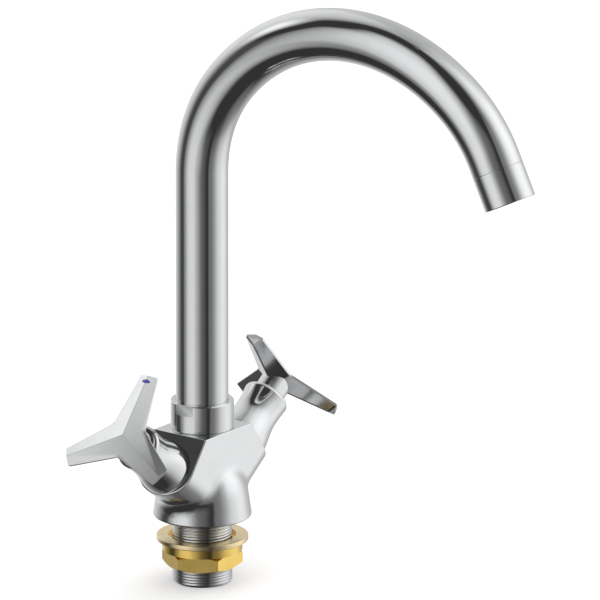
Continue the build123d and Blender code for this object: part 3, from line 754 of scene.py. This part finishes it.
@dataclass
class Handle:
    """A three spoked handle with a ridge down each spoke, on a round hub, and its colour mark.

    Its side is "cold" or "hot", and its place is the valve's.
    """

    side: str
    place: Matrix
    level: float = 45.0
    spokes: int = 3
    tip_radius: float = 35.4
    tip_half_width: float = 5.4
    notch_radius: float = 11.8
    apex_height: float = 2.6
    ridge_tip_height: float = 0.9
    rim_thickness: float = 1.3
    keel_depth: float = 6.9
    keel_tip_depth: float = 4.4
    tip_rounding: float = 0.9
    notch_rounding: float = 2.0
    keel_rounding: float = 1.0
    rounding_steps: int = 5
    edge_rounding: float = 0.3
    edge_steps: int = 3
    least_edge_deg: float = 9.0
    hub_radius: float = 8.4
    hub_length: float = 7.6
    hub_bore: float = 4.05
    hub_rounding: float = 0.8
    hub_sides: int = 64
    mark_inset: float = 3.4
    mark_length: float = 5.2
    mark_width: float = 2.1
    mark_swell: float = 0.14
    mark_rings: int = 8
    mark_sides: int = 40

    def notch(self) -> Point:
        """Returns the place of a notch beside the first spoke."""
        half = math.pi / self.spokes
        return (self.notch_radius * math.cos(half), self.notch_radius * math.sin(half))

    def top(self, along: float, across: float) -> float:
        """Works out the height of the faceted top at a place on the first spoke.

        Args:
            along: distance from the axis, along the spoke.
            across: distance from the ridge.

        Returns:
            Height above the handle's level.
        """
        notch_x, notch_y = self.notch()
        fall_along = (self.ridge_tip_height - self.apex_height) / self.tip_radius
        fall_across = -(self.apex_height + fall_along * notch_x) / notch_y
        return self.apex_height + fall_along * along + fall_across * abs(across)

    def belly(self, along: float, across: float) -> float:
        """Works out the height of the keeled underside at a place on the first spoke.

        Args:
            along: distance from the axis, along the spoke.
            across: distance from the keel.

        Returns:
            Height above the handle's level, so below zero.
        """
        notch_x, notch_y = self.notch()
        rise_along = (self.keel_depth - self.keel_tip_depth) / self.tip_radius
        rise_across = (self.keel_depth - rise_along * notch_x - self.rim_thickness) / notch_y
        return -self.keel_depth + rise_along * along + rise_across * abs(across)

    def star(self) -> bmesh.types.BMesh:
        """Builds the star: faceted above, thin at the rim, and keeled below with a hip at each tip.

        Returns:
            The mesh, in millimetres about the valve's axis.
        """
        builder = bmesh.new()
        notch_x, notch_y = self.notch()
        tip_x, tip_y = self.tip_radius, self.tip_half_width
        # the hip falls inward at 45 degrees from the tip's lower edge and ends on the keel
        hip = self.belly(tip_x, tip_y)
        keel_rise = self.belly(1.0, 0) - self.belly(0, 0)
        keel_end = (tip_x - hip - self.keel_depth) / (1 - keel_rise)
        lift = Matrix.Translation((0, 0, self.level))
        upper, lower, ridges, keels = [], [], [], []
        for spoke in range(self.spokes):
            turn = lift @ Matrix.Rotation(TURN * spoke / self.spokes, 4, "Z")
            for x, y in ((notch_x, -notch_y), (tip_x, -tip_y), (tip_x, tip_y)):
                upper.append(builder.verts.new(turn @ Vector((x, y, self.top(x, y)))))
                lower.append(builder.verts.new(turn @ Vector((x, y, self.belly(x, y)))))
            ridges.append(builder.verts.new(turn @ Vector((tip_x, 0, self.ridge_tip_height))))
            keels.append(builder.verts.new(turn @ Vector((keel_end, 0, self.belly(keel_end, 0)))))
        apex = builder.verts.new(lift @ Vector((0, 0, self.apex_height)))
        nadir = builder.verts.new(lift @ Vector((0, 0, -self.keel_depth)))
        for spoke, (ridge, keel) in enumerate(zip(ridges, keels)):
            first, left, right = 3 * spoke, 3 * spoke + 1, 3 * spoke + 2
            following = (first + 3) % len(upper)
            builder.faces.new((apex, upper[first], upper[left], ridge))
            builder.faces.new((apex, ridge, upper[right], upper[following]))
            builder.faces.new((upper[left], lower[left], lower[right], upper[right], ridge))
            builder.faces.new((nadir, keel, lower[left], lower[first]))
            builder.faces.new((nadir, lower[following], lower[right], keel))
            builder.faces.new((lower[left], keel, lower[right]))
            for start, end in ((first, left), (right, following)):
                builder.faces.new((upper[start], lower[start], lower[end], upper[end]))
        bmesh.ops.recalc_face_normals(builder, faces=builder.faces)
        edges = {self.notch_rounding: [], self.tip_rounding: [], self.keel_rounding: []}
        for index, pair in enumerate(zip(upper, lower)):
            edges[self.tip_rounding if index % 3 else self.notch_rounding].append(builder.edges.get(pair))
        for spoke, keel in enumerate(keels):
            for other in (nadir, lower[3 * spoke + 1], lower[3 * spoke + 2]):
                edges[self.keel_rounding].append(builder.edges.get((keel, other)))
        chosen = [(edge, rounding) for rounding, group in edges.items() for edge in group]
        self.round_edges(builder, chosen)
        return builder

    def round_edges(self, builder: bmesh.types.BMesh, chosen: list[tuple[bmesh.types.BMEdge, float]]) -> None:
        """Rounds each chosen edge by its own amount, the largest amount first.

        Args:
            builder: the mesh being built.
            chosen: the edges with their roundings.
        """
        for rounding in sorted({amount for _, amount in chosen}, reverse=True):
            group = [edge for edge, amount in chosen if amount == rounding and edge.is_valid]
            arc = {"segments": self.rounding_steps, "profile": 0.5, "affect": "EDGES"}
            bmesh.ops.bevel(builder, geom=group, offset=rounding, **arc)

    def hub_profile(self) -> list[Point]:
        """Works out the outline of the hub below the star, rounded at its lower end.

        Returns:
            Radius and height of each point.
        """
        low = self.level - self.keel_depth - self.hub_length
        high = self.level - self.rim_thickness
        return round_corners(
            [
                Corner(self.hub_bore, low),
                Corner(self.hub_radius, low, self.hub_rounding),
                Corner(self.hub_radius, high),
                Corner(self.hub_bore, high),
            ]
        )

    def build(self) -> None:
        """Builds the handle and its colour mark on their valve axis."""
        handle = new_object(finish_mesh(self.star(), f"spoked_handle_{self.side}", self.place))
        edges = handle.modifiers.new("broken_edges", "BEVEL")
        edges.width = self.edge_rounding * MILLIMETRE
        edges.segments = self.edge_steps
        edges.limit_method = "ANGLE"
        edges.angle_limit = math.radians(self.least_edge_deg)
        edges.harden_normals = True
        bake(handle)
        hub = lathe(f"hub_{self.side}", self.hub_profile(), self.place, self.hub_sides)
        builder = bmesh.new()
        builder.from_mesh(handle.data)
        builder.from_mesh(hub)
        builder.to_mesh(handle.data)
        builder.free()
        handle.data.polygons.foreach_set("use_smooth", [True] * len(handle.data.polygons))
        weight_normals(handle)
        keep_out_of_reflections(handle)
        fit(handle, f"{self.side}_handle", f"handle_{self.side}", "chrome", CAST_CHROME)
        self.build_mark()

    def build_mark(self) -> None:
        """Builds the drop of enamel across the ridge of the first spoke."""
        builder = bmesh.new()
        centre_x = self.tip_radius - self.mark_inset
        rings = []
        for ring in range(1, self.mark_rings + 1):
            share = ring / self.mark_rings
            swell = self.mark_swell * math.sqrt(1 - share**2)
            row = []
            for step in range(self.mark_sides):
                angle = TURN * step / self.mark_sides
                along = centre_x + self.mark_width / 2 * share * math.cos(angle)
                across = self.mark_length / 2 * share * math.sin(angle)
                height = self.level + self.top(along, across) + swell
                row.append(builder.verts.new((along, across, height)))
            rings.append(row)
        peak = builder.verts.new((centre_x, 0, self.level + self.top(centre_x, 0) + self.mark_swell))
        foot = [builder.verts.new(v.co - Vector((0, 0, self.rim_thickness / 2))) for v in rings[-1]]
        for step in range(self.mark_sides):
            following = (step + 1) % self.mark_sides
            builder.faces.new((peak, rings[0][step], rings[0][following]))
            for inside, outside in zip(rings, rings[1:] + [foot]):
                builder.faces.new((inside[step], outside[step], outside[following], inside[following]))
        builder.faces.new(foot[::-1])
        mark = new_object(finish_mesh(builder, f"enamel_mark_{self.side}", self.place))
        slot = "blue_mark" if self.side == "cold" else "red_mark"
        keep_out_of_reflections(mark)
        fit(mark, f"{self.side}_handle", f"index_mark_{self.side}", slot)


@dataclass
class Shank:
    """The threaded shank with the washer and back nut that clamp the faucet to its deck."""

    nodes: dict[str, Object]
    radius: float = 16.0
    bore: float = 13.5
    bottom: float = -36.5
    top: float = 8.0
    end_chamfer: float = 0.8
    pitch: float = 1.5
    thread_depth: float = 0.3
    rings_per_turn: int = 10
    washer_radius: float = 24.5
    washer_hole: float = 18.0
    washer_top: float = -10.8
    washer_thickness: float = 2.7
    washer_rounding: float = 0.5
    hole_rounding: float = 0.2

    def build(self) -> None:
        """Builds the shank, the washer and the nut."""
        self.build_shank()
        self.build_washer()
        nut = refined_copy(self.nodes["hex_nut"], "back_nut")
        fit(nut, "deck_clamp", "hex_nut", "brass")

    def build_shank(self) -> None:
        """Turns the hollow stem with fine rings and rolls its thread."""
        rings = round((self.top - self.bottom - 2 * self.end_chamfer) / self.pitch * self.rings_per_turn)
        low, high = self.bottom + self.end_chamfer, self.top - self.end_chamfer
        chamfer_radius = self.radius - self.end_chamfer
        wall = [(self.radius, low + (high - low) * ring / rings) for ring in range(rings + 1)]
        profile = [(self.bore, self.bottom), (chamfer_radius, self.bottom), *wall]
        profile += [(chamfer_radius, self.top), (self.bore, self.top)]
        stem = new_object(lathe("threaded_shank", profile, Matrix()))
        values = {
            "Major Radius": self.radius * MILLIMETRE,
            "Depth": self.thread_depth * MILLIMETRE,
            "Pitch": self.pitch * MILLIMETRE,
            "Top": 0.0,
            "Finish": THREAD_CHROME.material(),
        }
        thread_tree().apply(stem, values)
        fit(stem, "faucet_body", "shank", "chrome_thread")

    def build_washer(self) -> None:
        """Turns the flat washer with broken edges."""
        low = self.washer_top - self.washer_thickness
        profile = round_corners(
            [
                Corner(self.washer_hole, low, self.hole_rounding),
                Corner(self.washer_radius, low, self.washer_rounding),
                Corner(self.washer_radius, self.washer_top, self.washer_rounding),
                Corner(self.washer_hole, self.washer_top, self.hole_rounding),
            ]
        )
        washer = new_object(lathe("brass_washer", profile, Matrix()))
        weight_normals(washer)
        # the washer's paler brass colour is a painted highlight of its lit top
        fit(washer, "deck_clamp", "flange_washer", "brass", SHEET_BRASS_PAINTED_HIGHLIGHT)


def valve_place(joint: dict) -> Matrix:
    """Works out a valve's place: its Z runs out along the joint's axis and its X points up.

    Args:
        joint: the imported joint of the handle.

    Returns:
        The matrix, in metres.
    """
    out = Vector(joint["axis"]).normalized()
    up = (Vector((0, 0, 1)) - out * out.z).normalized()
    turn = Matrix((up, out.cross(up), out)).transposed().to_4x4()
    return Matrix.Translation(Vector(joint["pos_m"])) @ turn


# ---- the studio ----


@dataclass(frozen=True)
class Card:
    """Brightness of the light tent in one direction, in degrees round the faucet or above its deck."""

    degrees: float
    level: float


@dataclass(frozen=True)
class Patch:
    """A soft round lamp, or with a negative level a soft flag, on the light tent."""

    azimuth_deg: float
    elevation_deg: float
    half_width_deg: float
    level: float


@dataclass
class Studio:
    """A pale floor, a soft lamp, and a light tent that only reflections see.

    Chrome shows its surroundings, so the tent is dark round the camera and to its left, and bright to its
    right. Its brightness is that of its wall times that of its height, with soft patches on top.
    """

    floor_height: float
    tent_radius: float = 3.0
    tent_sides: int = 96
    tent_rings: int = 48
    tent_strength: float = 1.35
    darkest_level: float = 0.04
    floor_size: float = 6.0
    white_level: float = 1.0
    fill_level: float = 0.8
    floor_glow: float = 0.27
    key_power: float = 9.0
    key_size: float = 1.5
    key_place: tuple[float, float, float] = (0.15, -0.1, 1.6)
    wall: tuple[Card, ...] = tuple(
        Card(*row)
        for row in (
            (0, 0.54), (10, 0.47), (24, 0.46), (38, 0.52), (52, 0.68), (68, 0.66),
            (83, 0.57), (98, 0.35), (110, 0.13), (118, 0.06), (124, 0.06), (132, 0.20),
            (142, 0.44), (157, 0.70), (172, 0.75), (188, 0.55), (202, 0.25), (211, 0.14),
            (224, 0.10), (232, 0.06), (240, 0.03), (248, 0.15), (257, 0.18), (265, 0.25),
            (277, 0.43), (292, 0.68), (307, 0.80), (322, 0.88), (337, 0.80), (350, 0.62),
            (360, 0.54),
        )
    )
    heights: tuple[Card, ...] = tuple(
        Card(*row)
        for row in (
            (-90, 0.09), (-75, 0.13), (-60, 0.20), (-50, 0.30), (-38, 0.60), (-20, 0.83),
            (0, 0.90), (20, 0.98), (35, 0.97), (47, 0.87), (57, 0.78), (67, 0.55),
            (78, 0.36), (90, 0.27),
        )
    )
    patches: tuple[Patch, ...] = tuple(
        Patch(*row)
        for row in (
            (101, 32, 18, 0.82), (126, 45, 17, -0.45), (123, 27, 12, -0.24), (126, 60, 15, -0.16),
            (150, 76, 22, -0.45), (222, 60, 30, -0.28), (300, 70, 34, 0.16), (30, 72, 30, 0.16),
            (302, 32, 36, 0.16), (203, -20, 16, 0.14), (143, -20, 14, -0.12), (26, -50, 32, 0.26),
            (88, -30, 28, -0.36), (160, -55, 50, -0.26),
        )
    )

    def build(self) -> None:
        """Builds the world, the floor, the tent and the lamp."""
        self.build_world()
        self.build_floor()
        self.build_tent()
        self.build_key()

    def build_world(self) -> None:
        """Makes the world white for the camera, mirrors and glass, and a soft fill for the rest."""
        world = bpy.context.scene.world = bpy.data.worlds.new("soft_white_room")
        tree = clean_tree(world)
        rays = add_node(tree, "ShaderNodeLightPath").outputs
        mirrored = add_node(tree, MATH, (rays["Is Camera Ray"], rays["Is Glossy Ray"]), operation="MAXIMUM")
        seen = add_node(tree, MATH, (mirrored, rays["Is Transmission Ray"]), operation="MAXIMUM")
        fill, white = (
            add_node(tree, "ShaderNodeBackground", (linear("#FFFFFF"), level))
            for level in (self.fill_level, self.white_level)
        )
        mixed = add_node(tree, "ShaderNodeMixShader", (seen, fill, white))
        add_node(tree, "ShaderNodeOutputWorld", {"Surface": mixed})

    def build_floor(self) -> None:
        """Lays a pale floor that melts into the white but keeps the faucet's shadow."""
        half = self.floor_size / 2
        mesh = bpy.data.meshes.new("floor")
        corners = [(-half, -half), (half, -half), (half, half), (-half, half)]
        mesh.from_pydata([(x, y, self.floor_height) for x, y in corners], [], [(0, 1, 2, 3)])
        floor = new_object(mesh)
        material = bpy.data.materials.new("pale_floor")
        tree = clean_tree(material)
        seen = add_node(tree, "ShaderNodeLightPath").outputs["Is Camera Ray"]
        glow = add_node(tree, MATH, (seen, self.floor_glow), operation="MULTIPLY")
        paint = add_node(tree, "ShaderNodeBsdfDiffuse", {"Color": linear("#F4F4F4")})
        light = add_node(tree, "ShaderNodeEmission", {"Strength": glow})
        both = add_node(tree, "ShaderNodeAddShader", (paint, light))
        add_node(tree, "ShaderNodeOutputMaterial", {"Surface": both})
        floor.data.materials.append(material)
        floor.visible_glossy = False
        floor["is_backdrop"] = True

    def build_tent(self) -> None:
        """Hangs the tent round the faucet, where only mirrors see it."""
        builder = bmesh.new()
        fineness = {"u_segments": self.tent_sides, "v_segments": self.tent_rings}
        bmesh.ops.create_uvsphere(builder, radius=self.tent_radius, **fineness)
        mesh = bpy.data.meshes.new("light_tent")
        builder.to_mesh(mesh)
        builder.free()
        tent = new_object(mesh)
        material = bpy.data.materials.new("tent_cloth")
        tree = clean_tree(material)
        light = add_node(tree, "ShaderNodeEmission", {"Strength": self.tent_level(tree)})
        add_node(tree, "ShaderNodeOutputMaterial", {"Surface": light})
        tent.data.materials.append(material)
        for rays in ("camera", "diffuse", "transmission", "volume_scatter", "shadow"):
            setattr(tent, f"visible_{rays}", False)
        tent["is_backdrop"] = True

    def tent_level(self, tree: NodeTree) -> Node:
        """Works out how bright the tent is at each place.

        Args:
            tree: the tent's tree.

        Returns:
            The node that gives the level.
        """
        place = add_node(tree, "ShaderNodeTexCoord").outputs["Object"]
        x, y, z = add_node(tree, "ShaderNodeSeparateXYZ", (place,)).outputs
        angle = add_node(tree, MATH, (y, x), operation="ARCTAN2")
        turns = add_node(tree, MATH, (angle, TURN), operation="DIVIDE")
        raised = add_node(tree, MATH, (turns, 1.0), operation="ADD")
        round_wall = add_node(tree, MATH, (raised,), operation="FRACT")
        sine = add_node(tree, MATH, (z, self.tent_radius), operation="DIVIDE")
        rise = add_node(tree, MATH, (sine,), operation="ARCSINE")
        half_turns = add_node(tree, MATH, (rise, math.pi), operation="DIVIDE")
        height = add_node(tree, MATH, (half_turns, 0.5), operation="ADD")
        wall = [(card.degrees / 360, card.level) for card in self.wall]
        heights = [(card.degrees / 180 + 0.5, card.level) for card in self.heights]
        levels = []
        for where, curve in ((round_wall, wall), (height, heights)):
            node = add_node(tree, "ShaderNodeFloatCurve", {"Value": where})
            points = node.mapping.curves[0].points
            while len(points) < len(curve):
                points.new(0.5, 0.5)
            for point, location in zip(points, curve):
                point.location = location
                point.handle_type = "AUTO_CLAMPED"
            node.mapping.update()
            levels.append(node)
        level = add_node(tree, MATH, tuple(levels), operation="MULTIPLY")
        level = add_node(tree, MATH, (level, self.tent_strength), operation="MULTIPLY")
        for patch in self.patches:
            level = add_node(tree, MATH, (level, self.patch_level(tree, place, patch)), operation="ADD")
        return add_node(tree, MATH, (level, self.darkest_level), operation="MAXIMUM")

    def patch_level(self, tree: NodeTree, place: Socket, patch: Patch) -> Node:
        """Works out how much one patch adds at each place, which fades out towards its edge.

        Args:
            tree: the tent's tree.
            place: the socket with the tent's coordinates.
            patch: the patch.

        Returns:
            The node that gives the patch's level.
        """
        azimuth, elevation = math.radians(patch.azimuth_deg), math.radians(patch.elevation_deg)
        flat = self.tent_radius * math.cos(elevation)
        centre = (flat * math.cos(azimuth), flat * math.sin(azimuth), self.tent_radius * math.sin(elevation))
        away = add_node(tree, VECTOR_MATH, (place, centre), operation="DISTANCE").outputs["Value"]
        reach = 2 * self.tent_radius * math.sin(math.radians(patch.half_width_deg) / 2)
        ends = {"Value": away, "From Max": reach, "To Min": patch.level, "To Max": 0.0}
        return add_node(tree, "ShaderNodeMapRange", ends, interpolation_type="SMOOTHSTEP")

    def build_key(self) -> None:
        """Hangs one large soft lamp overhead, which mirrors don't see."""
        lamp = bpy.data.lights.new("key_softbox", "AREA")
        lamp.size = self.key_size
        lamp.energy = self.key_power
        key = new_object(lamp)
        place = Vector(self.key_place)
        key.matrix_world = Matrix.Translation(place) @ place.to_track_quat("Z", "Y").to_matrix().to_4x4()
        key.visible_glossy = False


@dataclass
class PhotoCamera:
    """The photograph's near parallel view, with sizes in millimetres and pixels of its 600 pixel frame."""

    azimuth_deg: float = -53.0
    elevation_deg: float = 16.7
    pixels_per_millimetre: float = 1.8868
    frame_pixels: float = 600.0
    origin_pixel: Point = (201.9, 515.0)
    true_scale_depth: float = 60.0
    lens: float = 1500.0
    sensor: float = 36.0
    sight: float = 4.0  # how far it sees, as a share of its distance

    def build(self) -> None:
        """Places the camera so that the origin falls on its pixel."""
        azimuth, elevation = math.radians(self.azimuth_deg), math.radians(self.elevation_deg)
        right = Vector((math.cos(azimuth), math.sin(azimuth), 0))
        flat = math.cos(elevation)
        back = Vector((math.sin(azimuth) * flat, -math.cos(azimuth) * flat, math.sin(elevation)))
        up = back.cross(right)
        middle = self.frame_pixels / 2
        aim_right = (middle - self.origin_pixel[0]) / self.pixels_per_millimetre
        aim_up = (self.origin_pixel[1] - middle) / self.pixels_per_millimetre
        aim = (right * aim_right + up * aim_up) * MILLIMETRE
        frame_width = self.frame_pixels / self.pixels_per_millimetre * MILLIMETRE
        distance = frame_width * self.lens / self.sensor + self.true_scale_depth * MILLIMETRE
        data = bpy.data.cameras.new("photo_camera")
        data.lens = self.lens
        data.sensor_width = self.sensor
        data.clip_end = self.sight * distance
        camera = new_object(data)
        turn = Matrix((right, up, back)).transposed().to_4x4()
        camera.matrix_world = Matrix.Translation(aim + back * distance) @ turn
        bpy.context.scene.camera = camera


def dress_packed_nodes(frame: dict) -> None:
    """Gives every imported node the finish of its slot, so that the inner works are dressed too.

    Args:
        frame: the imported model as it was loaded.
    """
    slots = {part["node"]: part["material_slot"] for part in frame["record"]["subparts"]}
    for name, node in frame["nodes"].items():
        dress(node, FINISH_OF_SLOT[slots[name]])
        if name.endswith(("_cold", "_hot")):
            keep_out_of_reflections(node)


def main() -> None:
    """Loads the frame, builds every piece and sets the studio."""
    logging.basicConfig(level=logging.INFO, format="%(name)s: %(message)s")
    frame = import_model()
    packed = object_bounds()
    dress_packed_nodes(frame)
    joints = {joint["name"]: joint for joint in frame["joints"]}
    CastBody(frame["nodes"]).build()
    for side in ("cold", "hot"):
        place = valve_place(joints[f"{side}_turn"])
        Bonnet(side, place).build()
        Handle(side, place).build()
    Spout().build()
    Shank(frame["nodes"]).build()
    Studio(floor_height=packed[0][2]).build()
    PhotoCamera().build()
    bpy.context.scene.view_settings.view_transform = "Standard"


if __name__ == "__main__":
    main()
